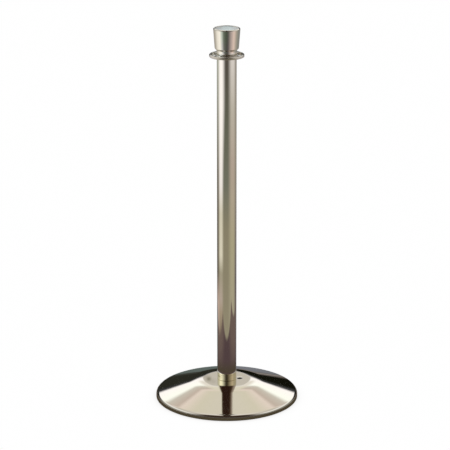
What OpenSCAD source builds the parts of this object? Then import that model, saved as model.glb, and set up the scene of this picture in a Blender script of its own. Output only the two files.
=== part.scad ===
// Free-standing rope barrier stanchion with a screw-on post, a turning
// four-way rope ring and a flared screw-off crown.
// Millimetres. Origin: centre of the base, on the floor. +Z up the post.

/* [Overall] */
// floor to the top of the crown
total_h = 1000; // [980:1:1020]
// outside diameter of the post tube
tube_od = 50.8; // [50.6:0.1:51.2]
// wall of the post tube
tube_wall = 1.5; // [1.4:0.1:1.8]

/* [Base] */
// outside radius of the spun base cover
base_r = 188; // [184:1:192]
// height of the flat hub of the base cover
hub_z = 50; // [49:0.5:52]
// slope of the cone below the horizontal, degrees
cone_deg = 17.2; // [17:0.1:17.6]
// height at which the cone would meet the outside radius
cone_foot_z = 15.3; // [15:0.1:15.6]
// rounding between the flat hub and the cone
hub_blend_r = 145; // [140:1:160]
// rounding between the cone and the upright rim
rim_round_r = 10; // [9:0.5:11]
// sheet thickness of the base cover
cover_t = 1.2; // [1:0.1:1.3]
// underside of the turned-in lip above the floor
lip_z = 1; // [0.8:0.1:1.2]
// wall of the iron casting above its hollow
cast_wall = 9; // [8:0.5:10]
// outer radius of the hollow under the casting
hollow_r = 168; // [164:1:169]
// radius of the solid boss in the middle of the casting
boss_r = 46; // [42:1:48]
// thickness of the ribs under the casting
rib_t = 6; // [5:0.5:8]

/* [Base stud] */
// nominal radius of the base stud thread
stud_r = 8; // [8:0.5:8]
// pitch of the base stud thread
stud_pitch = 2; // [2:0.5:2]
// top end of the base stud
stud_top_z = 108; // [106:1:110]

/* [Foot coupler] */
// top of the bare brass band
band_top_z = 69.5; // [68:0.5:72]
// top end of the spigot inside the tube
spigot_top_z = 112; // [110:1:116]
// thickness of the sliding washer under the coupler
hub_washer_t = 0.6; // [0.5:0.1:0.8]

/* [Rope ring] */
// outside radius of the rope ring
ring_r = 45.2; // [45:0.1:46]
// thickness of the rope ring
ring_t = 7; // [6.6:0.1:7.2]
// underside of the rope ring
ring_z = 925.25; // [925:0.05:925.5]
// inner radius of the rope hook openings
slot_in_r = 29.5; // [29:0.1:30]
// outer radius of the rope hook openings
slot_out_r = 38.5; // [38:0.1:38.8]
// angle from end centre to end centre of one opening
slot_deg = 44; // [40:1:48]
// angle of the first opening about the post
slot_turn_deg = 0; // [0:1:45]

/* [Crown] */
// radius of the crown neck
neck_r = 26.6; // [26.4:0.1:26.8]
// underside of the flared crown body
crown_under_z = 943.5; // [943:0.1:944]
// crown radius where the lower rounding ends
crown_low_r = 31.35; // [31:0.05:31.6]
// flare of the crown side, degrees from upright
crown_flare_deg = 4.29; // [4:0.05:4.5]
// rounding of the lower edge of the crown
crown_low_round = 7; // [6.5:0.1:7.5]
// rounding of the top edge of the crown
crown_top_round = 3; // [2.5:0.1:3.2]
// radius of the inset disc in the top
cap_r = 29.5; // [29:0.1:29.8]
// nominal radius of the crown stud thread
crown_stud_r = 6; // [6:0.5:6]
// pitch of the crown stud thread
crown_pitch = 1.75; // [1.75:0.25:1.75]

/* [Hidden] */
$fn = 96;
tube_r = tube_od / 2;
tube_ir = tube_r - tube_wall;
press = 0.02;
run = 0.06;
weight_gap = 0.3;
weight_z = lip_z + cover_t;
plate_z = 2.5;
plate_t = 1.5;
plate_top = plate_z + plate_t;
tube_top_z = ring_z - 0.5;
neck_top_z = ring_z + ring_t + 0.25;
crown_z = neck_top_z + 1;
skirt_h = 0.9;
floor_in_z = crown_under_z + 2.5;
cap_seat_z = total_h - 3.4;
screw_at = 140;

// ---- cone line of the base: every point p on it has cone_n . p = cone_d ----
function cone_n() = [sin(cone_deg), cos(cone_deg)];
cone_d = cone_n()[0] * base_r + cone_n()[1] * cone_foot_z;
rim_c = [base_r - rim_round_r,
         (cone_d - rim_round_r - cone_n()[0] * (base_r - rim_round_r)) / cone_n()[1]];
hub_c = [(cone_d - hub_blend_r - cone_n()[1] * (hub_z - hub_blend_r)) / cone_n()[0],
         hub_z - hub_blend_r];
function cone_at(r) = (cone_d - cone_n()[0] * r) / cone_n()[1];
function on_arc(c, r, a) = [c[0] + r * cos(a), c[1] + r * sin(a)];

// the outer part of a slice of a disc between two directions
module slice(c, r, a0, a1) {
    am = (a0 + a1) / 2;
    intersection() {
        translate(c) circle(r = r);
        polygon([on_arc(c, 0.8 * r, a0), on_arc(c, 2 * r, a0), on_arc(c, 3 * r, am),
                 on_arc(c, 2 * r, a1), on_arc(c, 0.8 * r, a1)]);
    }
}

// everything under the base cover, moved in by t
module dome(t) {
    rb = hub_blend_r - t;
    rr = rim_round_r - t;
    rotate_extrude()
        polygon([[0, lip_z], [0, hub_z - t], on_arc(hub_c, rb, 90),
                 on_arc(hub_c, rb, 90 - cone_deg), on_arc(rim_c, rr, 90 - cone_deg),
                 on_arc(rim_c, rr, 0), [base_r - t, lip_z]]);
    rotate_extrude() slice(hub_c, rb, 90 - cone_deg, 90);
    rotate_extrude() slice(rim_c, rr, 0, 90 - cone_deg);
}

// ---- screw thread: a rod turned with evenly spaced V grooves ----
module threaded_rod(r, pitch, z0, z1) {
    depth = 0.6 * pitch;
    n = floor((z1 - z0 - 2 * pitch) / pitch);
    zs = z0 + pitch;
    pts = concat([[0, z0], [r - depth, z0], [r, zs]],
                 [for (i = [0:n - 1], k = [0:2])
                     k == 0 ? [r, zs + i * pitch + 0.15 * pitch]
                     : k == 1 ? [r - depth, zs + i * pitch + 0.55 * pitch]
                     : [r, zs + i * pitch + 0.95 * pitch]],
                 [[r, z1 - 0.8 * depth], [r - depth, z1], [0, z1]]);
    rotate_extrude() polygon(pts);
}

// ---- hexagon nut with both faces chamfered ----
module hex_nut(flats, bore_r, z, h) {
    cr = flats / 2 / cos(30);
    ch = cr - flats / 2;
    difference() {
        intersection() {
            translate([0, 0, z]) cylinder(h = h, r = cr, $fn = 6);
            rotate_extrude() polygon([[0, z], [flats / 2 - 0.2, z], [cr + 0.2, z + ch],
                                      [cr + 0.2, z + h - ch], [flats / 2 - 0.2, z + h], [0, z + h]]);
        }
        translate([0, 0, z - 1]) cylinder(h = h + 2, r = bore_r);
    }
}

module plain_washer(ri, ro, z, t) {
    difference() {
        translate([0, 0, z]) cylinder(h = t, r = ro);
        translate([0, 0, z - 1]) cylinder(h = t + 2, r = ri);
    }
}

// =================== base ===================

module base_weight() color([0.24, 0.24, 0.25]) {
    difference() {
        union() {
            difference() {
                union() {
                    intersection() {
                        dome(cover_t + weight_gap);
                        translate([0, 0, weight_z]) cylinder(h = hub_z, r = base_r);
                    }
                    translate([0, 0, hub_z - cover_t - weight_gap - 2])
                        cylinder(h = weight_gap + 2, r = hub_c[0] - 4);
                }
                // hollow between the boss and the outer ring
                rotate_extrude() polygon([
                    [boss_r, lip_z], [boss_r, hub_z - cover_t - cast_wall],
                    [hub_c[0], hub_z - cover_t - cast_wall],
                    [hollow_r, cone_at(hollow_r) - cover_t - cast_wall],
                    [hollow_r, lip_z]]);
            }
            // ribs from the boss to the outer ring
            intersection() {
                rotate_extrude() polygon([
                    [boss_r - 2, plate_top], [boss_r - 2, hub_z - cover_t - cast_wall + 2],
                    [hub_c[0], hub_z - cover_t - cast_wall + 2],
                    [hollow_r + 2, cone_at(hollow_r) - cover_t - cast_wall + 1],
                    [hollow_r + 2, plate_top]]);
                for (a = [0:45:135]) rotate([0, 0, a])
                    translate([-base_r, -rib_t / 2, 0]) cube([2 * base_r, rib_t, hub_z]);
            }
            // screw bosses on every second rib
            for (a = [45:90:315]) rotate([0, 0, a]) translate([screw_at, 0, plate_top])
                cylinder(h = cone_at(screw_at) - cover_t - cast_wall - plate_top + 2, r = 9);
        }
        // seat for the bottom plate
        translate([0, 0, lip_z - 1]) cylinder(h = plate_top - lip_z + 1, r = hollow_r + 3);
        // groove for the rubber ring
        rotate_extrude() translate([173.5, lip_z]) square([10, 5 - lip_z]);
        // stud hole and nut recess
        translate([0, 0, 0]) cylinder(h = hub_z + 5, r = stud_r + 0.5);
        translate([0, 0, 0]) cylinder(h = 24, r = 22);
        for (a = [45:90:315]) rotate([0, 0, a]) translate([screw_at, 0, plate_top - 1])
            cylinder(h = 11, r = 2.55);
    }
}

module base_cover() color([0.84, 0.82, 0.78])
    difference() {
        dome(0);
        intersection() {
            dome(cover_t);
            translate([0, 0, weight_z]) cylinder(h = hub_z, r = base_r);
        }
        translate([0, 0, 0]) cylinder(h = weight_z + 1, r = base_r - 3.6);
        translate([0, 0, hub_z - 5]) cylinder(h = 10, r = stud_r + 0.6);
    }

module bottom_plate() color([0.10, 0.10, 0.11])
    difference() {
        translate([0, 0, plate_z]) cylinder(h = plate_t, r = hollow_r + 2.6);
        translate([0, 0, 0]) cylinder(h = 10, r = 24.5);
        for (a = [45:90:315]) rotate([0, 0, a]) translate([screw_at, 0, 0])
            cylinder(h = 10, r = 2.8);
    }

module bottom_plate_screws() color([0.70, 0.70, 0.68])
    for (a = [45:90:315]) rotate([0, 0, a]) translate([screw_at, 0, 0])
        difference() {
            rotate_extrude() polygon([[0, 0.7], [3.6, 0.7], [4.6, 1.3], [4.6, plate_z],
                                      [2.5, plate_z], [2.5, 12], [1.9, 13], [0, 13]]);
            for (b = [0, 90]) rotate([0, 0, b])
                translate([-2.4, -0.45, 0]) cube([4.8, 0.9, 1.9]);
        }

module floor_ring() color([0.06, 0.06, 0.06])
    rotate_extrude() polygon([[174.4, 0], [182.6, 0], [183.4, 0.8], [183.4, 5],
                              [173.6, 5], [173.6, 0.8]]);

module base_stud() color([0.72, 0.72, 0.70])
    threaded_rod(stud_r, stud_pitch, 3.4, stud_top_z);

module stud_plate_washer() color([0.72, 0.72, 0.70])
    plain_washer(stud_r + 0.5, 20, 21, 3);

module stud_spring_washer() color([0.66, 0.66, 0.64])
    difference() {
        plain_washer(stud_r + 0.3, 12.6, 17, 4);
        rotate([0, 0, 20]) translate([0, -0.8, 16]) rotate([20, 0, 0])
            cube([20, 1.4, 9]);
    }

module stud_nut() color([0.74, 0.74, 0.72])
    hex_nut(24, stud_r + 0.05, 4, 13);

module cover_clamp_washer() color([0.72, 0.72, 0.70])
    plain_washer(stud_r + 0.4, 15, hub_z, 2.5);

module cover_clamp_nut() color([0.74, 0.74, 0.72])
    hex_nut(24, stud_r + 0.05, hub_z + 2.5, 8);

// =================== post ===================

module hub_washer() color([0.80, 0.64, 0.30])
    plain_washer(16.4, tube_r - 0.4, hub_z, hub_washer_t);

module post_tube() color([0.84, 0.82, 0.78])
    difference() {
        translate([0, 0, band_top_z]) cylinder(h = tube_top_z - band_top_z, r = tube_r);
        translate([0, 0, band_top_z - 1]) cylinder(h = tube_top_z - band_top_z + 2, r = tube_ir);
    }

module foot_coupler() color([0.80, 0.64, 0.30])
    rotate_extrude() polygon([
        [16.2, hub_z + hub_washer_t], [tube_r - 0.3, hub_z + hub_washer_t],
        [tube_r, hub_z + hub_washer_t + 0.3], [tube_r, band_top_z],
        [tube_ir + press, band_top_z], [tube_ir + press, spigot_top_z - 1.5],
        [tube_ir - 1.5, spigot_top_z], [stud_r + 1, spigot_top_z],
        [stud_r + run, spigot_top_z - 1], [stud_r + run, hub_z + 17],
        [stud_r + 1.2, hub_z + 15.8], [16.2, hub_z + 15.8]]);

module top_plug() color([0.72, 0.72, 0.70])
    rotate_extrude() polygon([
        [crown_stud_r + run, 892], [13, 886], [13, 880], [tube_ir - 1.5, 880],
        [tube_ir + press, 881.5], [tube_ir + press, tube_top_z], [14, tube_top_z],
        [14, neck_top_z - 0.3], [13.7, neck_top_z], [crown_stud_r + 0.8, neck_top_z],
        [crown_stud_r + run, neck_top_z - 0.8]]);

// =================== rope ring ===================

module rope_ring() color([0.82, 0.80, 0.76])
    difference() {
        rotate_extrude() union() {
            translate([16.5, ring_z]) square([ring_r - ring_t / 2 - 16.5, ring_t]);
            intersection() {
                translate([ring_r - ring_t / 2, ring_z + ring_t / 2]) circle(d = ring_t);
                translate([ring_r - ring_t / 2, ring_z - 1]) square([ring_t, ring_t + 2]);
            }
        }
        for (a = [0:90:270]) rotate([0, 0, a + slot_turn_deg]) {
            rotate([0, 0, -slot_deg / 2]) rotate_extrude(angle = slot_deg)
                translate([slot_in_r, ring_z - 1]) square([slot_out_r - slot_in_r, ring_t + 2]);
            for (s = [-1, 1]) rotate([0, 0, s * slot_deg / 2])
                translate([(slot_in_r + slot_out_r) / 2, 0, ring_z - 1])
                    cylinder(h = ring_t + 2, r = (slot_out_r - slot_in_r) / 2);
        }
    }

module ring_bushing() color([0.08, 0.08, 0.08])
    rotate_extrude() polygon([
        [14 + run, ring_z - 0.45], [23.4, ring_z - 0.45], [23.4, ring_z],
        [16.5 + press, ring_z], [16.5 + press, ring_z + ring_t], [14 + run, ring_z + ring_t]]);

// =================== crown ===================

module crown_washer() color([0.08, 0.08, 0.08])
    plain_washer(crown_stud_r + 0.3, 20, neck_top_z, 1);

// half section of the flared crown body without its neck
low_c = [crown_low_r - 1.5 * tan(crown_flare_deg) - crown_low_round / cos(crown_flare_deg),
         crown_under_z + crown_low_round];
side_r = crown_low_r - (crown_under_z + 8.5) * tan(crown_flare_deg);
top_c = [side_r + (total_h - crown_top_round) * tan(crown_flare_deg)
         - crown_top_round / cos(crown_flare_deg), total_h - crown_top_round];

module crown_outline() union() {
    polygon([[0, crown_under_z], on_arc(low_c, crown_low_round, -90),
             on_arc(low_c, crown_low_round, -crown_flare_deg),
             on_arc(top_c, crown_top_round, -crown_flare_deg),
             on_arc(top_c, crown_top_round, 90), [0, total_h]]);
    slice(low_c, crown_low_round, -90, -crown_flare_deg);
    slice(top_c, crown_top_round, -crown_flare_deg, 90);
}

module crown_shell() color([0.84, 0.82, 0.78])
    rotate_extrude() difference() {
        union() {
            crown_outline();
            // neck, with a short skirt that hides the sliding washer
            polygon([[0, crown_z], [21, crown_z], [21.4, crown_z - skirt_h],
                     [neck_r - 0.4, crown_z - skirt_h], [neck_r, crown_z - skirt_h + 0.4],
                     [neck_r, crown_under_z + 3], [0, crown_under_z + 3]]);
        }
        // stud hole, hollow inside and seat for the cap disc
        translate([0, crown_z - 1]) square([crown_stud_r + 0.05, 30]);
        polygon([[0, floor_in_z], [low_c[0] + 0.4, floor_in_z], [low_c[0] + 4.4, floor_in_z + 4.6],
                 [top_c[0] - 0.4, total_h - 12], [cap_r - 1.5, total_h - 8],
                 [cap_r - 1.5, total_h + 1], [0, total_h + 1]]);
        translate([0, cap_seat_z]) square([cap_r + 0.03, 10]);
    }

module crown_cap_disc() color([0.80, 0.79, 0.76])
    rotate_extrude() polygon([[0, cap_seat_z], [cap_r - 0.3, cap_seat_z], [cap_r, cap_seat_z + 0.3],
                              [cap_r, total_h - 1.1], [cap_r - 0.5, total_h - 0.6],
                              [0, total_h - 0.6]]);

module crown_stud() color([0.72, 0.72, 0.70])
    threaded_rod(crown_stud_r, crown_pitch, 897, floor_in_z + 11.5);

module crown_inner_washer() color([0.72, 0.72, 0.70])
    plain_washer(crown_stud_r + 0.3, 12, floor_in_z, 1.6);

module crown_jam_nut() color([0.74, 0.74, 0.72])
    hex_nut(18, crown_stud_r + 0.05, floor_in_z + 1.6, 7);

base_weight();
base_cover();
bottom_plate();
bottom_plate_screws();
floor_ring();
base_stud();
stud_plate_washer();
stud_spring_washer();
stud_nut();
cover_clamp_washer();
cover_clamp_nut();
hub_washer();
post_tube();
foot_coupler();
top_plug();
rope_ring();
ring_bushing();
crown_washer();
crown_shell();
crown_cap_disc();
crown_stud();
crown_inner_washer();
crown_jam_nut();
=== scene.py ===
"""A rope-barrier post: weighted base, upright tube, flat rope ring and flared crown.

The post stands on the floor at z = 0 with its axis on Z. The front faces -Y and the right
is +X. Pieces are sized in mm and built in metres; the studio is in metres.
"""
import math

import bpy
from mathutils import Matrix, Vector
from mathutils.geometry import tessellate_polygon


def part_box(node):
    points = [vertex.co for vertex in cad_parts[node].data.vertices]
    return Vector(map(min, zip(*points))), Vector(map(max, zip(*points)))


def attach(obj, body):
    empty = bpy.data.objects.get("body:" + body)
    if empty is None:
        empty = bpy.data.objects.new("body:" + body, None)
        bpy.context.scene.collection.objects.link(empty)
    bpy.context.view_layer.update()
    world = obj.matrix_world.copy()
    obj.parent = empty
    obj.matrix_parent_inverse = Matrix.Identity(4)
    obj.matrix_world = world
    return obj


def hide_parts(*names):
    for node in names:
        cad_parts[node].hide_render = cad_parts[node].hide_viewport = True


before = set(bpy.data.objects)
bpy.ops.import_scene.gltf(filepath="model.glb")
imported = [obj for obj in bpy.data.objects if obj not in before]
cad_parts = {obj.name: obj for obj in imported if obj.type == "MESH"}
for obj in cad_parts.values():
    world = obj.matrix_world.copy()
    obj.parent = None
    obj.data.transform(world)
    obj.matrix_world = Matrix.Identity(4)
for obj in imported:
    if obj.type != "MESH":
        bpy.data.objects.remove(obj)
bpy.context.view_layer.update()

MM = 0.001
scene = bpy.context.scene

# --------------------------------------------------------------------------
# driving sizes, from the CAD nodes (mm)
# --------------------------------------------------------------------------


def span(node):
    """Radius, bottom and top of a CAD node."""
    low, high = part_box(node)
    return max(high.x, high.y) / MM, low.z / MM, high.z / MM


def snap(measured, nominal, tolerance):
    return nominal if abs(measured - nominal) < tolerance else measured


COVER_R, COVER_LO, HUB_Z = span("base_cover")
COVER_R = snap(COVER_R, 188.0, tolerance=0.3)
BAND_R, BAND_LO, SPIGOT_TOP = span("foot_coupler")
_, TUBE_LO, TUBE_HI = span("post_tube")
TUBE_R = snap(BAND_R, 25.4, tolerance=0.1)
TUBE_IR = TUBE_R - 1.5
SPIGOT_R = TUBE_IR + 0.02
RING_R, RING_LO, RING_HI = span("rope_ring")
RING_R = snap(RING_R, 45.2, tolerance=0.2)
_, CROWN_LO, CROWN_HI = span("crown_shell")
BASE_STUD_R = 8.0
CROWN_STUD_R = 6.0

# --------------------------------------------------------------------------
# mesh code
# --------------------------------------------------------------------------


def add_object(name, data):
    made = bpy.data.objects.new(name, data)
    scene.collection.objects.link(made)
    return made


def add_mesh(name, verts, faces, mat):
    mesh = bpy.data.meshes.new(name)
    mesh.from_pydata(verts, [], faces)
    mesh.materials.append(mat)
    return add_object(name, mesh)


def add_piece(name, verts, faces, fit, normals=None):
    """A smooth piece. fit is (body it rides, CAD node it replaces, slot, material); the slot is
    not used.

    Without normals, edges over 50 degrees are sharp.
    """
    body, node, slot, mat = fit
    piece = add_mesh(name, verts, faces, mat)
    mesh = piece.data
    mesh.update()
    mesh.shade_smooth()
    if normals:
        mesh.normals_split_custom_set_from_vertices(normals)
    else:
        mesh.set_sharp_from_angle(angle=math.radians(50))
    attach(piece, body)
    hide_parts(node)


def unit(start, end):
    across, up = end[0] - start[0], end[1] - start[1]
    size = math.hypot(across, up)
    return across / size, up / size


def rounded(corners, closed, step):
    """Turns corners (r, z, fillet), anticlockwise in the r-z plane, into points.

    Each point is (r, z, nr, nz) with its outward normal. step is the fillet step in degrees.
    """
    points, count = [], len(corners)
    for i in range(count):
        r, z, fillet = corners[i]
        if not closed and i in (0, count - 1):
            way = unit(*(corners[:2] if i == 0 else corners[-2:]))
            points.append((r, z, way[1], -way[0]))
            continue
        way_in = unit(corners[i - 1], corners[i])
        way_out = unit(corners[i], corners[(i + 1) % count])
        turn = math.atan2(way_in[0] * way_out[1] - way_in[1] * way_out[0],
                          way_in[0] * way_out[0] + way_in[1] * way_out[1])
        fillet = max(fillet, 0.05)
        back = fillet * math.tan(abs(turn) / 2)
        normal = (way_in[1], -way_in[0])
        side = 1 if turn > 0 else -1
        centre_r = r - way_in[0] * back - side * normal[0] * fillet
        centre_z = z - way_in[1] * back - side * normal[1] * fillet
        fine_step = step if fillet < 20 else 1.0
        steps = max(2, int(math.ceil(abs(math.degrees(turn)) / fine_step)))
        for k in range(steps + 1):
            angle = turn * k / steps
            nr = normal[0] * math.cos(angle) - normal[1] * math.sin(angle)
            nz = normal[0] * math.sin(angle) + normal[1] * math.cos(angle)
            points.append((centre_r + side * nr * fillet, centre_z + side * nz * fillet, nr, nz))
    return points


def skin(rows, closed=False):
    """Faces between neighbouring rings of vertices; repeated vertices are merged."""
    rings = rows + rows[:1] if closed else rows
    faces = []
    for ring, following in zip(rings, rings[1:]):
        for k in range(len(ring)):
            m = (k + 1) % len(ring)
            face = list(dict.fromkeys((ring[k], ring[m], following[m], following[k])))
            if len(face) > 2:
                faces.append(face)
    return faces


def lathe(name, corners, fit, closed=True, seg=256, step=9.0):
    """Turns an outline about the Z axis. An open outline starts and ends on the axis."""
    verts, normals, rows = [], [], []
    for r, z, nr, nz in rounded(corners, closed, step):
        if r < 1e-6:
            rows.append([len(verts)] * seg)
            verts.append((0.0, 0.0, z * MM))
            normals.append((0.0, 0.0, 1.0 if nz > 0 else -1.0))
            continue
        rows.append(list(range(len(verts), len(verts) + seg)))
        for k in range(seg):
            angle = 2 * math.pi * k / seg
            verts.append((r * math.cos(angle) * MM, r * math.sin(angle) * MM, z * MM))
            normals.append((nr * math.cos(angle), nr * math.sin(angle), nz))
    add_piece(name, verts, skin(rows, closed), fit, normals)


def plate(name, outlines, low, high, fit):
    """A flat plate with rounded edges.

    outlines lists (points, edge radius), the outside first, anticlockwise, then each hole,
    clockwise. Points are (x, y, nx, ny), the normals pointing away from the metal.
    """
    verts, normals, faces, tops, bottoms = [], [], [], [], []
    for points, edge in outlines:
        profile = []                # inset, z, level part and upright part of the normal
        for k in range(7):
            angle = math.pi / 2 * k / 6
            sine, cosine = math.sin(angle), math.cos(angle)
            profile.append((edge * (1 - sine), high - edge * (1 - cosine), sine, cosine))
        for k in range(7):
            angle = math.pi / 2 * k / 6
            sine, cosine = math.sin(angle), math.cos(angle)
            profile.append((edge * (1 - cosine), low + edge * (1 - sine), cosine, -sine))
        if abs((high - low) - 2 * edge) < 1e-4:     # a full round: both arcs meet in one point
            profile.pop(7)
        count = len(points)
        first = len(verts)
        for inset, z, level, upright in profile:
            for x, y, nx, ny in points:
                verts.append(((x - nx * inset) * MM, (y - ny * inset) * MM, z * MM))
                normals.append((nx * level, ny * level, upright))
        for j in range(len(profile) - 1):
            above, below = first + j * count, first + (j + 1) * count
            for k in range(count):
                m = (k + 1) % count
                faces.append([above + k, below + k, below + m, above + m])
        last = first + (len(profile) - 1) * count
        tops.append(list(range(first, first + count)))
        bottoms.append(list(range(last, last + count)))
    for loops, is_top in ((tops, True), (bottoms, False)):
        flat = [i for loop in loops for i in loop]
        for triangle in tessellate_polygon(
                [[Vector((verts[i][0], verts[i][1], 0)) for i in loop] for loop in loops]):
            i, j, k = [flat[corner] for corner in triangle]
            a, b, c = verts[i], verts[j], verts[k]
            area = (b[0] - a[0]) * (c[1] - a[1]) - (b[1] - a[1]) * (c[0] - a[0])
            if abs(area) >= 1e-16:
                faces.append([i, j, k] if (area > 0) == is_top else [i, k, j])
    add_piece(name, verts, faces, fit, normals)


def arc(radius, start, sweep, count, side, centre=(0.0, 0.0)):
    """Points with normals; side is 1 for normals away from the centre, -1 towards it."""
    points = []
    for k in range(count):
        angle = start + sweep * k / count
        cosine, sine = math.cos(angle), math.sin(angle)
        points.append((centre[0] + radius * cosine, centre[1] + radius * sine,
                       side * cosine, side * sine))
    return points


def kidney(inner, outer, half_deg, mid_deg):
    """A clockwise kidney opening about the axis."""
    middle, half = math.radians(mid_deg), math.radians(half_deg)
    start, end = middle - half, middle + half
    centre_r, end_r = (inner + outer) / 2, (outer - inner) / 2

    def cap(angle, first):
        centre = (centre_r * math.cos(angle), centre_r * math.sin(angle))
        return arc(end_r, first, -math.pi, 12, -1, centre)

    return (arc(outer, end, -2 * half, 14, -1) + cap(start, start)
            + arc(inner, start, 2 * half, 14, 1) + cap(end, end + math.pi))


def thread(name, radius, pitch, low, high, fit, seg=48):
    """A rod with a helical thread that fades out at both ends, and chamfered tips."""
    depth = 0.55 * pitch
    tip = 0.9 * depth
    row_count = int(round((high - low) / pitch * 10))
    verts, rows = [(0, 0, low * MM)], [[0] * seg]
    for j in range(row_count + 1):
        z = low + (high - low) * j / row_count
        to_end = min(z - low, high - z)
        limit = radius - tip + min(to_end, tip)
        fade = min(1.0, max(0.0, (to_end - 0.3 * pitch) / pitch))
        rows.append(list(range(len(verts), len(verts) + seg)))
        for k in range(seg):
            angle = 2 * math.pi * k / seg
            turn = ((z / pitch) - k / seg) % 1.0
            groove = max(0.0, 1 - abs(turn - 0.5) / 0.38)
            r = min(limit, radius - depth * min(1.0, groove * 1.15) * fade)
            verts.append((r * math.cos(angle) * MM, r * math.sin(angle) * MM, z * MM))
    rows.append([len(verts)] * seg)
    verts.append((0, 0, high * MM))
    add_piece(name, verts, skin(rows), fit)


# --------------------------------------------------------------------------
# colours and shader nodes
# --------------------------------------------------------------------------

METAL = (0.845, 0.812, 0.725)
WHITE = (1.0, 1.0, 1.0)


def linear(colour):
    """Hex rrggbb to linear RGB."""
    values = [int(colour[i:i + 2], 16) / 255 for i in (0, 2, 4)]
    return [v / 12.92 if v <= 0.04045 else ((v + 0.055) / 1.055) ** 2.4 for v in values]


def seen(colour):
    """The light that polished metal shows as this hex colour."""
    return [c / m for c, m in zip(linear(colour), METAL)]


def seen_twice(colour):
    """The light that two polished surfaces in turn show as this hex colour."""
    return [c / m / m for c, m in zip(linear(colour), METAL)]


class Tree:
    """Builds shader nodes. Any input may be a number, a colour or another node's output."""

    def __init__(self, tree):
        self.tree = tree
        tree.nodes.clear()

    def put(self, socket, value):
        """Sets or links an input. A hex string goes through seen()."""
        if value is None:
            return
        if isinstance(value, str):
            value = seen(value)
        if hasattr(value, "is_output"):
            self.tree.links.new(value, socket)
        elif isinstance(value, (tuple, list)) and len(value) == 3 and socket.type == "RGBA":
            socket.default_value = (*value, 1.0)
        else:
            socket.default_value = value

    def fill(self, node, values):
        for key, value in values.items():
            self.put(node.inputs[key], value)
        return node

    def node(self, kind, *values, **props):
        """A new node; values fill its inputs in order."""
        made = self.tree.nodes.new(kind)
        for key, value in props.items():
            setattr(made, key, value)
        return self.fill(made, dict(enumerate(values)))

    def math(self, operation, *values, clamp=False):
        return self.node("ShaderNodeMath", *values, operation=operation,
                         use_clamp=clamp).outputs[0]

    def times(self, a, b):
        return self.math("MULTIPLY", a, b)

    def vector_times(self, a, b):
        return self.node("ShaderNodeVectorMath", a, b, operation="MULTIPLY").outputs[0]

    def step(self, value, start, end, low=0.0, high=1.0):
        """Smooth step from low to high as value goes from start to end."""
        return self.node("ShaderNodeMapRange", value, start, end, low, high,
                         interpolation_type="SMOOTHSTEP").outputs[0]

    def band(self, value, rise, fall):
        """1 between the two soft edges; each edge runs from its 0 to its 1."""
        return self.times(self.step(value, *rise), self.step(value, *fall))

    def mix(self, factor, a, b):
        made = self.node("ShaderNodeMix", data_type="RGBA")
        return self.fill(made, {0: factor, 6: a, 7: b}).outputs[2]

    def xyz(self, vector):
        return self.node("ShaderNodeSeparateXYZ", vector).outputs[:3]

    def join(self, x, y, z):
        return self.node("ShaderNodeCombineXYZ", x, y, z).outputs[0]

    def noise(self, vector, scale, detail=2.0, rough=0.5, distortion=0.0):
        return self.fill(self.node("ShaderNodeTexNoise"), {
            "Vector": vector, "Scale": scale, "Detail": detail, "Roughness": rough,
            "Distortion": distortion}).outputs[0]

    def bump(self, height, strength, distance, normal=None):
        return self.fill(self.node("ShaderNodeBump"), {
            "Strength": strength, "Distance": distance, "Height": height,
            "Normal": normal}).outputs[0]

    def radius(self, x, y):
        return self.math("SQRT", self.math("ADD", self.times(x, x), self.times(y, y)))

    def azimuth(self, x, y):
        """Radians about the axis: 0 in front, positive to the right."""
        return self.math("ARCTAN2", x, self.times(y, -1.0))

    def degrees(self, radians):
        return self.times(radians, 180 / math.pi)


def new_material(name):
    made = bpy.data.materials.new(name)
    made.use_nodes = True
    return made, Tree(made.node_tree)


def principled(name):
    """A material, its tree, its Principled node and its object coordinates."""
    made, tree = new_material(name)
    surface = tree.node("ShaderNodeBsdfPrincipled")
    tree.node("ShaderNodeOutputMaterial", surface.outputs[0])
    return made, tree, surface, tree.node("ShaderNodeTexCoord").outputs["Object"]


# --------------------------------------------------------------------------
# materials
# --------------------------------------------------------------------------


def spot(tree, x, y, centre_x, centre_y, half_x, half_y):
    """1 at the centre, fading out over the half widths; sizes in mm."""
    across = tree.times(tree.math("SUBTRACT", x, centre_x * MM), 1000.0 / half_x)
    along = tree.times(tree.math("SUBTRACT", y, centre_y * MM), 1000.0 / half_y)
    total = tree.math("ADD", tree.times(across, across), tree.times(along, along))
    return tree.math("EXPONENT", tree.times(total, -1.0))


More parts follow.
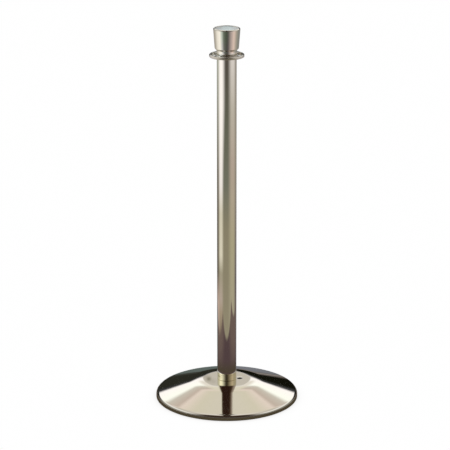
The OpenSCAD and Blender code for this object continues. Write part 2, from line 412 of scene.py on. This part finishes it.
def polished(name, base=METAL, rough=0.045, marks="turned", wave=0.3, dents=(), painted_reflections=()):
    """Mirror-polished metal: faint polishing lines, smudges and a very slight waviness.

    dents are (depth, x, y, half x, half y) in mm; painted_reflections, patches of painted dark
    reflection, start with a strength instead.
    """
    made, tree, surface, place = principled(name)
    x, y, z = tree.xyz(place)
    angle = tree.math("ARCTAN2", y, x)
    cosine, sine = tree.math("COSINE", angle), tree.math("SINE", angle)
    if marks == "upright":      # polished along the tube
        stretched = tree.join(tree.times(cosine, 1.0), tree.times(sine, 1.0),
                              tree.times(z, 2.5))
        lines = tree.noise(stretched, scale=70.0, detail=3.0, rough=0.6)
    else:                       # rings about the axis
        fine_rings = 900.0
        rings = tree.math("ADD", tree.times(tree.radius(x, y), fine_rings),
                          tree.times(z, fine_rings))
        stretched = tree.join(rings, tree.times(cosine, 0.35), tree.times(sine, 0.35))
        lines = tree.noise(stretched, scale=1.0, detail=3.0, rough=0.6)
    smudge = tree.noise(place, scale=22.0, detail=4.0, rough=0.55, distortion=0.4)
    fine = tree.noise(tree.vector_times(place, (1.0, 1.0, 0.5)), scale=900.0)
    wear = tree.math("MULTIPLY_ADD", smudge, 0.55, tree.times(lines, 0.45))
    roughness = tree.step(wear, 0.3, 0.72, low=rough * 0.7, high=rough * 1.5)
    tint = tree.mix(tree.step(smudge, 0.35, 0.7), [c * 0.985 for c in base], base)
    # painted dark reflection: the metal's colour darkened to a deep brown in soft patches
    reflection_brown = [c * k for c, k in zip(base, (0.30, 0.29, 0.20))]
    for strength, *where in painted_reflections:
        patch = spot(tree, x, y, *where)
        tint = tree.mix(tree.times(patch, strength), tint, reflection_brown)
    swell = tree.times(tree.noise(place, scale=9.0, detail=1.0), wave)
    marks_height = tree.math("MULTIPLY_ADD", lines, 0.012, tree.times(fine, 0.004))
    height = tree.math("ADD", swell, marks_height)
    normal = None
    if dents:
        knocks = 0.0
        for depth, *where in dents:
            knocks = tree.math("MULTIPLY_ADD", spot(tree, x, y, *where), -depth, knocks)
        normal = tree.bump(knocks, strength=1.0, distance=MM)
    tree.fill(surface, {
        "Roughness": roughness, "Base Color": tint, "Metallic": 1.0,
        "Normal": tree.bump(height, strength=0.10, distance=0.0006, normal=normal)})
    return made


def plated(name, base, rough):
    """Plated steel: fine grain and a faint cool bloom."""
    made, tree, surface, place = principled(name)
    bloom = tree.noise(place, scale=60.0, detail=4.0, rough=0.6, distortion=0.6)
    grain = tree.noise(place, scale=1400.0, detail=3.0, rough=0.7)
    cool = [base[0] * 0.86, base[1] * 0.92, base[2] * 1.02]
    wear = tree.math("MULTIPLY_ADD", grain, 0.5, tree.times(bloom, 0.5))
    tree.fill(surface, {
        "Base Color": tree.mix(tree.step(bloom, 0.35, 0.66), cool, base),
        "Roughness": tree.step(wear, 0.3, 0.7, low=rough * 0.75, high=rough * 1.5),
        "Metallic": 1.0,
        "Normal": tree.bump(grain, strength=0.12, distance=0.00012)})
    return made


def dull(name, base, light, rough, grain, height, speck=0.0):
    """A dull surface: mottled colour, grain in the roughness and height, optional specks."""
    made, tree, surface, place = principled(name)
    cloud = tree.noise(place, scale=35.0, detail=5.0, rough=0.6, distortion=0.3)
    grains = tree.noise(place, scale=grain, detail=4.0, rough=0.65)
    colour = tree.mix(tree.step(cloud, 0.32, 0.7), base, light)
    if speck:
        dots = tree.step(tree.noise(place, scale=grain * 0.6, detail=1.0), 0.68, 0.74, high=speck)
        colour = tree.mix(dots, colour, [min(1, v * 3 + 0.05) for v in light])
    tree.fill(surface, {
        "Base Color": colour,
        "Roughness": tree.step(grains, 0.3, 0.7, low=rough * 0.85, high=min(1.0, rough * 1.15)),
        "Normal": tree.bump(grains, strength=0.5, distance=height)})
    return made


MAT_TUBE = polished("tube_polish", rough=0.04, marks="upright", wave=0.6)
# the three dark brown patches on the left of the cover are painted reflections of the coupler
MAT_COVER = polished("cover_polish", rough=0.05, wave=0.5,
                     dents=((0.8, 34.5, 4.5, 6.5, 8.0),),
                     painted_reflections=((0.85, -48.0, -7.0, 6.5, 17.0), (0.4, -60.0, 22.0, 9.0, 20.0),
                             (0.22, -36.0, -24.0, 9.0, 18.0)))
MAT_CROWN = polished("crown_polish", rough=0.05, wave=0.4)
MAT_DISC = polished("cap_disc_polish", base=(0.84, 0.83, 0.79), rough=0.04)
MAT_RING = polished("ring_polish", rough=0.13)
MAT_BRASS = polished("brass_polish", base=(0.88, 0.78, 0.50), rough=0.055)
MAT_ZINC = plated("zinc_plate", base=(0.62, 0.62, 0.58), rough=0.24)
MAT_NUT = plated("zinc_nut", base=(0.66, 0.65, 0.59), rough=0.2)
MAT_SPRING = plated("spring_steel", base=(0.42, 0.41, 0.40), rough=0.3)
MAT_IRON = dull("black_casting", base=(0.022, 0.022, 0.024), light=(0.045, 0.045, 0.048),
                rough=0.62, grain=420.0, height=0.0006, speck=0.12)
MAT_PLATE = dull("powder_coat", base=(0.018, 0.018, 0.02), light=(0.03, 0.03, 0.032),
                 rough=0.48, grain=900.0, height=0.00025)
MAT_RUBBER = dull("black_rubber", base=(0.010, 0.010, 0.010), light=(0.022, 0.022, 0.021),
                  rough=0.78, grain=1100.0, height=0.0002)
MAT_NYLON = dull("black_nylon", base=(0.014, 0.014, 0.015), light=(0.026, 0.026, 0.027),
                 rough=0.42, grain=600.0, height=0.00008)

# --------------------------------------------------------------------------
# pieces; every outline is a table of corners (r, z, fillet) in mm
# --------------------------------------------------------------------------

# base cover: flat hub, rounded shoulder, cone, rounded edge, upright rim and turned-in lip
SLOPE = math.radians(17.2)
CONE_FOOT_Z = 15.3
SHEET = 1.2
COVER_BORE_R = 8.6
LIP = 3.6


def cone_reach(inset):
    """Distance of the cone's line from the origin, with the cone moved in by inset."""
    return math.sin(SLOPE) * COVER_R + math.cos(SLOPE) * CONE_FOOT_Z - inset


def cone_r(z, inset):
    return (cone_reach(inset) - math.cos(SLOPE) * z) / math.sin(SLOPE)


def cone_z(r, inset):
    return (cone_reach(inset) - math.sin(SLOPE) * r) / math.cos(SLOPE)


lathe("base_cover_shell", [
    (COVER_BORE_R, HUB_Z - SHEET, 0.2),
    (cone_r(HUB_Z - SHEET, SHEET), HUB_Z - SHEET, 143.8),
    (COVER_R - SHEET, cone_z(COVER_R - SHEET, SHEET), 8.8),
    (COVER_R - SHEET, COVER_LO + SHEET, 0.4),
    (COVER_R - LIP, COVER_LO + SHEET, 0.3), (COVER_R - LIP, COVER_LO, 0.4),
    (COVER_R, COVER_LO, 1.4), (COVER_R, CONE_FOOT_Z, 10.0),
    (cone_r(HUB_Z, 0.0), HUB_Z, 145.0), (COVER_BORE_R, HUB_Z, 0.3),
], ("base", "base_cover", "polished_steel", MAT_COVER), seg=320, step=6.0)

# rubber ring: rounded foot with two shallow grooves
lathe("floor_ring_rubber", [
    (173.6, 5.0, 0.3), (173.6, 0.0, 0.9),
    (176.6, 0.0, 0.15), (176.9, 0.5, 0.15), (177.5, 0.5, 0.15), (177.8, 0.0, 0.15),
    (179.2, 0.0, 0.15), (179.5, 0.5, 0.15), (180.1, 0.5, 0.15), (180.4, 0.0, 0.15),
    (183.4, 0.0, 0.9), (183.4, 5.0, 0.3),
], ("base", "floor_ring", "rubber", MAT_RUBBER))

# brass coupler: bare band at the foot, spigot inside the tube, bore for the base stud
COUPLER_BORE_R = BASE_STUD_R + 0.06
lathe("foot_coupler_brass", [
    (16.2, BAND_LO, 0.5), (TUBE_R, BAND_LO, 0.5), (TUBE_R, TUBE_LO, 0.22),
    (SPIGOT_R, TUBE_LO, 0.1), (SPIGOT_R, SPIGOT_TOP - 1.5, 0.3),
    (TUBE_IR - 1.5, SPIGOT_TOP, 0.3), (9.0, SPIGOT_TOP, 0.2),
    (COUPLER_BORE_R, SPIGOT_TOP - 1.0, 0.2), (COUPLER_BORE_R, BAND_LO + 16.4, 0.2),
    (9.2, BAND_LO + 15.2, 0.2), (16.2, BAND_LO + 15.2, 0.3),
], ("post", "foot_coupler", "brass", MAT_BRASS), seg=192)

lathe("post_tube_polished", [
    (TUBE_R, TUBE_LO, 0.22), (TUBE_R, TUBE_HI, 0.3),
    (TUBE_IR, TUBE_HI, 0.3), (TUBE_IR, TUBE_LO, 0.22),
], ("post", "post_tube", "polished_steel", MAT_TUBE))

# top plug: body inside the tube and a narrower neck above it
_, PLUG_LO, PLUG_HI = span("top_plug")
PLUG_BORE_R = CROWN_STUD_R + 0.06
lathe("top_plug_neck", [
    (PLUG_BORE_R, PLUG_LO + 12, 0.3), (13.0, PLUG_LO + 6, 0.4), (13.0, PLUG_LO, 0.3),
    (TUBE_IR - 1.5, PLUG_LO, 0.3), (SPIGOT_R, PLUG_LO + 1.5, 0.3), (SPIGOT_R, TUBE_HI, 0.3),
    (14.0, TUBE_HI, 0.2), (14.0, PLUG_HI, 0.3), (PLUG_BORE_R, PLUG_HI, 0.7),
], ("post", "top_plug", "zinc_steel", MAT_ZINC), seg=128)

# rope ring: flat plate, rounded outside, round bore, four softened kidney openings
FULL_TURN = 2 * math.pi
plate("rope_ring_plate",
      [(arc(RING_R, 0.0, FULL_TURN, 256, 1), 2.0), (arc(16.5, 0.0, -FULL_TURN, 96, -1), 0.3)]
      + [(kidney(29.5, 38.5, half_deg=22.0, mid_deg=90.0 * q), 1.5) for q in range(4)],
      RING_LO, RING_HI, ("rope_collar", "rope_ring", "polished_steel", MAT_RING))

# bushing: sleeve in the ring's bore with a thin flange below
FLANGE_LO = RING_LO - 0.45
lathe("ring_bushing_nylon", [
    (14.06, FLANGE_LO, 0.15), (23.4, FLANGE_LO, 0.15), (23.4, RING_LO, 0.15),
    (16.52, RING_LO, 0.1), (16.52, RING_HI, 0.15), (14.06, RING_HI, 0.15),
], ("rope_collar", "ring_bushing", "nylon", MAT_NYLON), seg=96)


def washer(name, inner, outer, edge, seg, node, slot, mat):
    """A flat washer; the body it rides has its node's name."""
    _, low, high = span(node)
    lathe(name, [(inner, low, 0.1), (outer, low, edge), (outer, high, edge), (inner, high, 0.1)],
          (node, node, slot, mat), seg=seg)


washer("hub_washer_brass", 16.4, 25.0, edge=0.25, seg=128,
       node="hub_washer", slot="brass", mat=MAT_BRASS)
washer("crown_washer_nylon", 6.3, 20.0, edge=0.3, seg=96,
       node="crown_washer", slot="nylon", mat=MAT_NYLON)

# crown: neck, rounded underside, flared side, rounded top edge, hollow inside
CROWN_BORE_R = CROWN_STUD_R + 0.05
DISC_R = 29.5
RIM_R = DISC_R + 0.03
CROWN_TOP_R = 31.35 + 48.0 * math.tan(math.radians(4.29))
lathe("crown_body", [
    (CROWN_BORE_R, CROWN_LO + 0.9, 0.3), (21.2, CROWN_LO + 0.9, 0.1), (21.4, CROWN_LO, 0.1),
    (26.6, CROWN_LO, 0.4), (26.6, CROWN_HI - 56.08, 1.2), (30.86, CROWN_HI - 54.53, 6.8),
    (CROWN_TOP_R, CROWN_HI, 3.0), (RIM_R, CROWN_HI, 0.5), (RIM_R, CROWN_HI - 3.4, 0.2),
    (28.0, CROWN_HI - 3.4, 0.3), (28.0, CROWN_HI - 8.0, 0.5), (31.3, CROWN_HI - 12.0, 1.0),
    (28.6, CROWN_HI - 49.4, 2.0), (24.6, CROWN_HI - 54.0, 2.0),
    (CROWN_BORE_R, CROWN_HI - 54.0, 0.3),
], ("crown", "crown_shell", "polished_steel", MAT_CROWN), step=6.0)

_, DISC_LO, DISC_HI = span("crown_cap_disc")
lathe("crown_disc", [
    (0.0, DISC_LO, 0), (DISC_R, DISC_LO, 0.3), (DISC_R, DISC_HI, 0.6), (0.0, DISC_HI, 0),
], ("crown", "crown_cap_disc", "polished_steel", MAT_DISC), closed=False, seg=192)

# name, radius, pitch, body, node
for name, radius, pitch, body, node in (
        ("base_stud_thread", BASE_STUD_R, 2.0, "base", "base_stud"),
        ("crown_stud_thread", CROWN_STUD_R, 1.75, "crown", "crown_stud")):
    _, low, high = span(node)
    thread(name, radius, pitch, low, high, (body, node, "zinc_steel", MAT_ZINC))

# CAD nodes that keep their own mesh
for node, mat in (
        ("base_weight", MAT_IRON), ("bottom_plate", MAT_PLATE),
        ("bottom_plate_screws", MAT_ZINC), ("stud_plate_washer", MAT_ZINC),
        ("stud_spring_washer", MAT_SPRING), ("stud_nut", MAT_NUT),
        ("cover_clamp_washer", MAT_ZINC), ("cover_clamp_nut", MAT_NUT),
        ("crown_inner_washer", MAT_ZINC), ("crown_jam_nut", MAT_NUT)):
    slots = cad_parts[node].data.materials
    slots.clear()
    slots.append(mat)

# --------------------------------------------------------------------------
# studio: what the metal mirrors is painted on the floor and the world, in hex colours as
# the metal shows them. Azimuths are in degrees, 0 in front, 90 at the right.
# --------------------------------------------------------------------------


def ramp(tree, factor, stops, position, light=seen):
    """A ramp of {station: hex colour, grey or RGB}; position maps a station to 0..1."""
    made = tree.node("ShaderNodeValToRGB", factor)
    elements = made.color_ramp.elements
    while len(elements) > 1:
        elements.remove(elements[-1])
    for i, (station, colour) in enumerate(stops.items()):
        if isinstance(colour, str):
            colour = light(colour)
        elif not isinstance(colour, tuple):
            colour = (colour,) * 3
        where = position(station)
        element = elements.new(where) if i else elements[0]
        element.position = where
        element.color = (*colour, 1.0)
    return made.outputs[0]


def around(tree, degrees, stops, light=seen):
    """A ramp over the azimuth, from -180 to 180 degrees."""
    return ramp(tree, tree.math("MULTIPLY_ADD", degrees, 1 / 360, 0.5), stops,
                lambda station: (station + 180) / 360, light)


def ground(tree, azimuth, distance):
    """The floor in the metal: pale at the left, dark in front and beige at the right."""
    log_far = math.log(8.0)
    spread = tree.math("DIVIDE", tree.math(
        "LOGARITHM", tree.math("MAXIMUM", distance, 0.05), math.e), log_far)
    spread = tree.math("MULTIPLY_ADD", spread, 0.5, 0.5, clamp=True)

    def outward(stops):
        """Stops by distance in metres: 0.125 m is at 0, 1 m at 0.5 and 8 m at 1."""
        return ramp(tree, spread, stops, lambda metres: 0.5 + 0.5 * math.log(metres) / log_far)

    front = outward({0.5: "908870", 1.55: "888068", 2.1: "707060", 3.0: "606050",
                     4.2: "504840", 8.0: "484038"})
    left = outward({0.45: "685848", 0.72: "a09078", 0.85: "b0a090", 1.1: "a09880",
                    1.28: "d8d0b8", 1.75: "d0c8b0", 2.1: "f0e8e0", 3.2: "fff8f0"})
    right = outward({0.6: "a09880", 1.4: "a8a080", 2.4: "b0a090", 3.2: "b8b0a0",
                     4.3: "d8d0c8"})
    back_left = outward({0.3: "b8a098", 0.8: "b8a090", 1.1: "686050", 2.2: "706858",
                         4.0: "b0b0a0", 7.0: "b0b0a0"})
    back_right = outward({0.3: "707068", 1.0: "605858", 2.5: "908878", 5.0: "908880"})

    degrees = tree.degrees(azimuth)
    left_start = tree.step(distance, 2.0, 3.5, low=-32.0, high=-10.0)
    left_end = tree.step(distance, 2.0, 3.5, low=-66.0, high=-62.0)
    on_left = tree.step(degrees, left_start, left_end)
    on_right = tree.step(degrees, 6.0, 62.0)
    on_back_left = tree.step(degrees, -80.0, -125.0)
    far_back_left = tree.step(degrees, -142.0, -156.0)
    on_back_right = tree.step(degrees, 84.0, 132.0)
    colour = tree.mix(on_right, tree.mix(on_left, front, left), right)
    colour = tree.mix(on_back_left, colour, back_left)
    colour = tree.mix(far_back_left, colour, "383830")
    return tree.mix(on_back_right, colour, back_right)


def plinth(tree, x, y, distance, colour):
    """Lays a dark soft-edged rectangle under the post, with a wedge widening to the back."""
    inside_x = tree.band(x, rise=(-0.60, -0.48), fall=(0.72, 0.665))
    inside_y = tree.band(y, rise=(-0.53, -0.47), fall=(0.75, 0.55))
    inside = tree.times(inside_x, inside_y)
    to_sides = tree.step(tree.math("ABSOLUTE", x), 0.12, 0.5)
    shade = tree.mix(to_sides, "504040", "685850")
    # darker within about 0.3 m of the post: a painted contact shadow in the mirrored floor
    shade = tree.mix(tree.step(distance, 0.34, 0.2), shade, "484030")
    past_wedge = tree.math("SUBTRACT", tree.math("ABSOLUTE", x), tree.times(y, 0.9))
    wedge = tree.times(tree.step(past_wedge, 0.0, -0.05), tree.step(y, 0.0, 0.12))
    wedge_colour = tree.mix(tree.step(x, -0.03, 0.03), "586058", "707070")
    return tree.mix(inside, colour, tree.mix(wedge, shade, wedge_colour))


def from_crown(tree, degrees, height):
    """The ground seen from the height of the crown, tinted for its lower part."""
    colour = around(tree, degrees, {
        -180: "888078", -125: "b0a898", -92: "e8e0d0", -65: "f8f0e0", -47: "c0c8b8",
        -28: "687060", -6: "485040", 12: "505048", 38: "a89890", 66: "d8c0b0",
        95: "a09888", 125: "808078", 180: "888078"})
    tint = around(tree, degrees, {
        -60: WHITE, -40: (1.08, 0.95, 1.1), 8: (1.08, 0.93, 1.12), 24: WHITE})
    low_part = tree.step(height, 0.985, 0.955)
    return tree.mix(low_part, colour, tree.vector_times(colour, tint))


def from_collar(tree, degrees):
    """The ground seen from the height of the rope ring."""
    return around(tree, degrees, {
        -180: "908880", -100: "c8c0b8", -50: "a8a090", -25: "686058", 2: "403828",
        22: "686050", 48: "908878", 85: "b0a8a0", 180: "908880"})


def second_mirror(tree, degrees, elevation):
    """Painted reflections for rays mirrored twice: the foot of the post, the neck over the ring,
    and higher up.
    """
    grey = around(tree, degrees, {
        -180: 0.4, -106: 0.55, -82: 1.0, -62: 0.9, -38: 0.42, -15: 0.07, 0: 0.025,
        15: 0.08, 40: 0.25, 72: 0.45, 95: 0.35, 180: 0.35})
    tint = around(tree, degrees, {
        -180: (1.0, 1.04, 1.1), -40: (1.0, 1.1, 1.22), -12: WHITE, 5: (1.0, 0.9, 0.7),
        30: (1.04, 0.97, 0.90), 64: (1.06, 0.98, 0.98), 100: (1.0, 0.98, 0.98)})
    foot = tree.vector_times(tree.vector_times(grey, (1.25, 1.25, 1.25)), tint)
    upper = around(tree, degrees, {
        -180: "c8c0a8", -122: "c8c0a8", -98: "483828", -70: "281810", 40: "281810",
        72: "403020", 105: "887868", 180: "b0a890"}, light=seen_twice)
    neck = around(tree, degrees, {
        -180: "908880", -75: "a0a090", -45: "686058", 0: "383020", 24: "585040",
        66: "807868", 180: "908880"}, light=seen_twice)
    at_neck = tree.band(elevation, rise=(11.3, 11.9), fall=(13.9, 13.3))
    higher = tree.step(elevation, 23.0, 27.0)
    return tree.mix(higher, tree.mix(at_neck, foot, neck), upper)


def sky(tree, degrees, elevation, sideways):
    """Above the horizon: dark low down behind, a white band, then grey and warm beige."""
    share = tree.math("DIVIDE", elevation, 90.0, clamp=True)

    def upward(factor, stops):
        """Stops by elevation in degrees."""
        return ramp(tree, factor, stops, lambda station: station / 90.0)

    off_front = tree.math("ABSOLUTE", degrees)
    off_back = tree.math("SUBTRACT", 180.0, off_front)
    on_right = tree.step(degrees, -20.0, 20.0)
    dark = tree.mix(on_right, "282820", "101008")
    horizon = tree.mix(on_right, "282820", "605850")
    dark = tree.mix(tree.step(elevation, 3.6, 1.4), dark, horizon)

    # the lower edge of the white rises to the sides
    edge_lift = tree.step(off_back, 5.0, 14.0, high=1.6)
    edge_zone = tree.step(elevation, 30.0, 22.0, high=1 / 90.0)
    lifted = tree.math("SUBTRACT", share, tree.times(edge_lift, edge_zone))
    back = upward(lifted, {
        0: "383830", 1.5: "282820", 13: "202018", 17.6: "383838", 20.0: "fff8f0",
        31.5: "fffff0", 35: "c8c0b0", 41: "c0b0a0", 43.5: "e0d0c0", 50: "d0c8b0",
        62: "d0c8b8", 90: "e0d8d0"})
    back = tree.mix(tree.step(elevation, 17.0, 14.5), back, dark)
    centre = tree.times(tree.step(off_back, 10.5, 5.5),
                        tree.band(elevation, rise=(21.5, 25.0), fall=(47.0, 43.5)))
    centre_colour = tree.mix(tree.step(elevation, 30.0, 36.0), "e0d8c8", "d8d0b8")
    back = tree.mix(centre, back, centre_colour)

    side = upward(share, {0: "909080", 14: "706860", 22: "d8d8c8", 34: "e8e0d8",
                          48: "b8b0a0", 70: "d8d0c0", 90: "e0d8d0"})
    front = upward(share, {0: "484840", 20: "403830", 34: "302018", 58: "302018",
                           66: "888070", 76: "c8c0b0", 90: "e0d8d0"})
    colour = tree.mix(tree.step(off_front, 35.0, 75.0), front, side)
    colour = tree.mix(tree.step(off_front, 120.0, 150.0), colour, back)

    # a pale upright panel straight behind, between the two halves of the white band
    panel_half = 4.0
    panel = tree.times(tree.step(off_back, panel_half, panel_half - 1.2),
                       tree.band(elevation, rise=(18.6, 19.8), fall=(31.0, 27.0)))
    colour = tree.mix(panel, colour, "c0b8a8")

    # a narrow dark band overhead, in line with the post
    overhead = tree.times(tree.step(tree.math("ABSOLUTE", sideways), 0.075, 0.055),
                          tree.step(elevation, 57.0, 60.0))
    return tree.mix(overhead, colour, "302820")


def build_world():
    """Mirrored surroundings for glossy rays, plain white for the camera, soft light else."""
    world = bpy.data.worlds.new("soft_studio")
    scene.world = world
    world.use_nodes = True
    tree = Tree(world.node_tree)
    x, y, z = tree.xyz(tree.node("ShaderNodeTexCoord").outputs["Generated"])
    azimuth = tree.azimuth(x, y)
    degrees = tree.degrees(azimuth)
    elevation = tree.degrees(tree.math("ARCSINE", z))
    # where the ray would meet the ground from a height of 1 m
    downward = tree.math("TANGENT", tree.times(elevation, -math.pi / 180))
    distance = tree.math("DIVIDE", 1.0, tree.math("MAXIMUM", downward, 0.03))
    path = tree.node("ShaderNodeLightPath").outputs
    above = tree.step(elevation, -0.6, 0.6)
    mirrored = tree.mix(above, ground(tree, azimuth, distance),
                        sky(tree, degrees, elevation, x))
    # the world counts one bounce more than the floor
    second = tree.step(path["Ray Depth"], 2.4, 2.6)
    mirrored = tree.mix(second, mirrored, second_mirror(tree, degrees, elevation))
    soft = tree.mix(tree.step(elevation, -10.0, 70.0), (0.62, 0.61, 0.60), WHITE)
    colour = tree.mix(path["Is Glossy Ray"], soft, mirrored)
    colour = tree.mix(path["Is Camera Ray"], colour, WHITE)
    tree.node("ShaderNodeOutputWorld", tree.node("ShaderNodeBackground", colour).outputs[0])


build_world()

FLOOR_DROP = 0.0003     # the floor lies this far below z = 0
FLOOR_R = 40
FLOOR_SEG = 96


def floor_paper():
    """Pale paper for the camera, with a painted contact shadow near the post; glossy rays find
    the painted ground. Clear from below.
    """
    made, tree = new_material("floor_paper")
    geometry = tree.node("ShaderNodeNewGeometry").outputs
    x, y, _ = tree.xyz(geometry["Position"])
    distance = tree.radius(x, y)
    azimuth = tree.azimuth(x, y)
    path = tree.node("ShaderNodeLightPath").outputs
    degrees = tree.degrees(azimuth)

    # height of the mirroring point, less how far the post has been screwed up
    height = tree.times(path["Ray Length"], tree.xyz(geometry["Incoming"])[2])
    tube_frame = tree.node("ShaderNodeTexCoord", object=bpy.data.objects["post_tube_polished"])
    tube_z = tree.xyz(tube_frame.outputs["Object"])[2]
    height = tree.math("ADD", height, tree.math("ADD", tube_z, FLOOR_DROP))

    mirrored = plinth(tree, x, y, distance, ground(tree, azimuth, distance))
    top = from_crown(tree, degrees, height)
    second = tree.step(path["Ray Depth"], 1.4, 1.6)
    second_far = tree.times(second, tree.step(distance, 0.55, 0.75))
    mirrored = tree.mix(second_far, mirrored, second_mirror(tree, degrees, 20.0))
    at_ring = tree.band(height, rise=(0.9244, 0.9252), fall=(0.9335, 0.9326))
    at_ring = tree.times(at_ring, tree.step(distance, 1.6, 2.4))
    ring_view = tree.mix(second, from_collar(tree, degrees), mirrored)
    mirrored = tree.mix(at_ring, mirrored, ring_view)
    at_crown = tree.step(height, 0.936, 0.942)
    crown_view = tree.mix(second, top, tree.vector_times(top, (0.9, 0.88, 0.86)))
    mirrored = tree.mix(at_crown, mirrored, crown_view)

    # painted contact shadow: the glowing paper darkens where ambient occlusion finds the post
    # close by
    occlusion = tree.fill(tree.node("ShaderNodeAmbientOcclusion", samples=8),
                          {"Distance": 0.03})
    grain = tree.step(tree.noise(geometry["Position"], scale=300.0), 0.2, 0.8)
    paper = tree.mix(grain, (0.995, 0.995, 0.995), WHITE)
    outside_painted_shadow = tree.step(occlusion.outputs["AO"], 0.35, 1.0)
    pale = tree.mix(outside_painted_shadow, (0.86, 0.855, 0.85), paper)
    colour = tree.mix(path["Is Glossy Ray"], (0.80, 0.79, 0.78), mirrored)
    colour = tree.mix(path["Is Camera Ray"], colour, pale)
    glow = tree.node("ShaderNodeEmission", colour).outputs[0]
    clear = tree.node("ShaderNodeBsdfTransparent").outputs[0]
    shader = tree.node("ShaderNodeMixShader", geometry["Backfacing"], glow, clear)
    tree.node("ShaderNodeOutputMaterial", shader.outputs[0])
    return made


rim = [2 * math.pi * k / FLOOR_SEG for k in range(FLOOR_SEG)]
floor = add_mesh(
    "studio_floor",
    [(0.0, 0.0, -FLOOR_DROP)]
    + [(FLOOR_R * math.cos(a), FLOOR_R * math.sin(a), -FLOOR_DROP) for a in rim],
    [(0, k + 1, (k + 1) % FLOOR_SEG + 1) for k in range(FLOOR_SEG)],
    floor_paper())

# a small pale card far behind, at the height that only the top disc of the crown shows
CARD_Y = 3.0
CARD_Z = DISC_HI * MM + CARD_Y * 0.2144
CARD_HALF = 0.22
CARD_BELOW, CARD_ABOVE = 0.022, 0.024


def card_paper():
    """Two pale tones, one in a narrow upright strip at the middle."""
    made, tree = new_material("card_paper")
    x = tree.xyz(tree.node("ShaderNodeNewGeometry").outputs["Position"])[0]
    off_middle = tree.step(tree.math("ABSOLUTE", x), 0.008, 0.034)
    glow = tree.node("ShaderNodeEmission", tree.mix(off_middle, "d0d8d0", "c8c8c0"))
    tree.node("ShaderNodeOutputMaterial", glow.outputs[0])
    return made


card = add_mesh("studio_card", [
    (-CARD_HALF, CARD_Y, CARD_Z - CARD_BELOW), (CARD_HALF, CARD_Y, CARD_Z - CARD_BELOW),
    (CARD_HALF, CARD_Y, CARD_Z + CARD_ABOVE), (-CARD_HALF, CARD_Y, CARD_Z + CARD_ABOVE),
], [(0, 1, 2, 3)], card_paper())
card.visible_camera = False
card.visible_diffuse = False
card.visible_shadow = False
card.visible_transmission = False

# one large soft lamp, at the front left, for the rubber, iron and nylon
lamp = bpy.data.lights.new("soft_key", "AREA")
lamp.shape = "DISK"
lamp.size = 2.5
lamp.energy = 40.0
key = add_object("soft_key", lamp)
key.location = (-1.6, -2.2, 2.6)
key.rotation_mode = "QUATERNION"
LAMP_TARGET = Vector((0, 0, 0.4))
key.rotation_quaternion = (LAMP_TARGET - key.location).to_track_quat("-Z", "Y")
key.visible_glossy = False

# camera: long lens in front, looking down on the post
LOOK_DOWN_DEG = 16.81
lens = bpy.data.cameras.new("camera")
lens.lens = 182.1
lens.sensor_width = 36.0
lens.shift_x = -0.00396
lens.clip_end = 200.0
camera = add_object("camera", lens)
camera.location = (0.0, -5.6918, 2.1955)
camera.rotation_euler = (math.radians(90 - LOOK_DOWN_DEG), 0.0, 0.0)
scene.camera = camera

scene.view_settings.view_transform = "Standard"
scene.view_settings.look = "None"
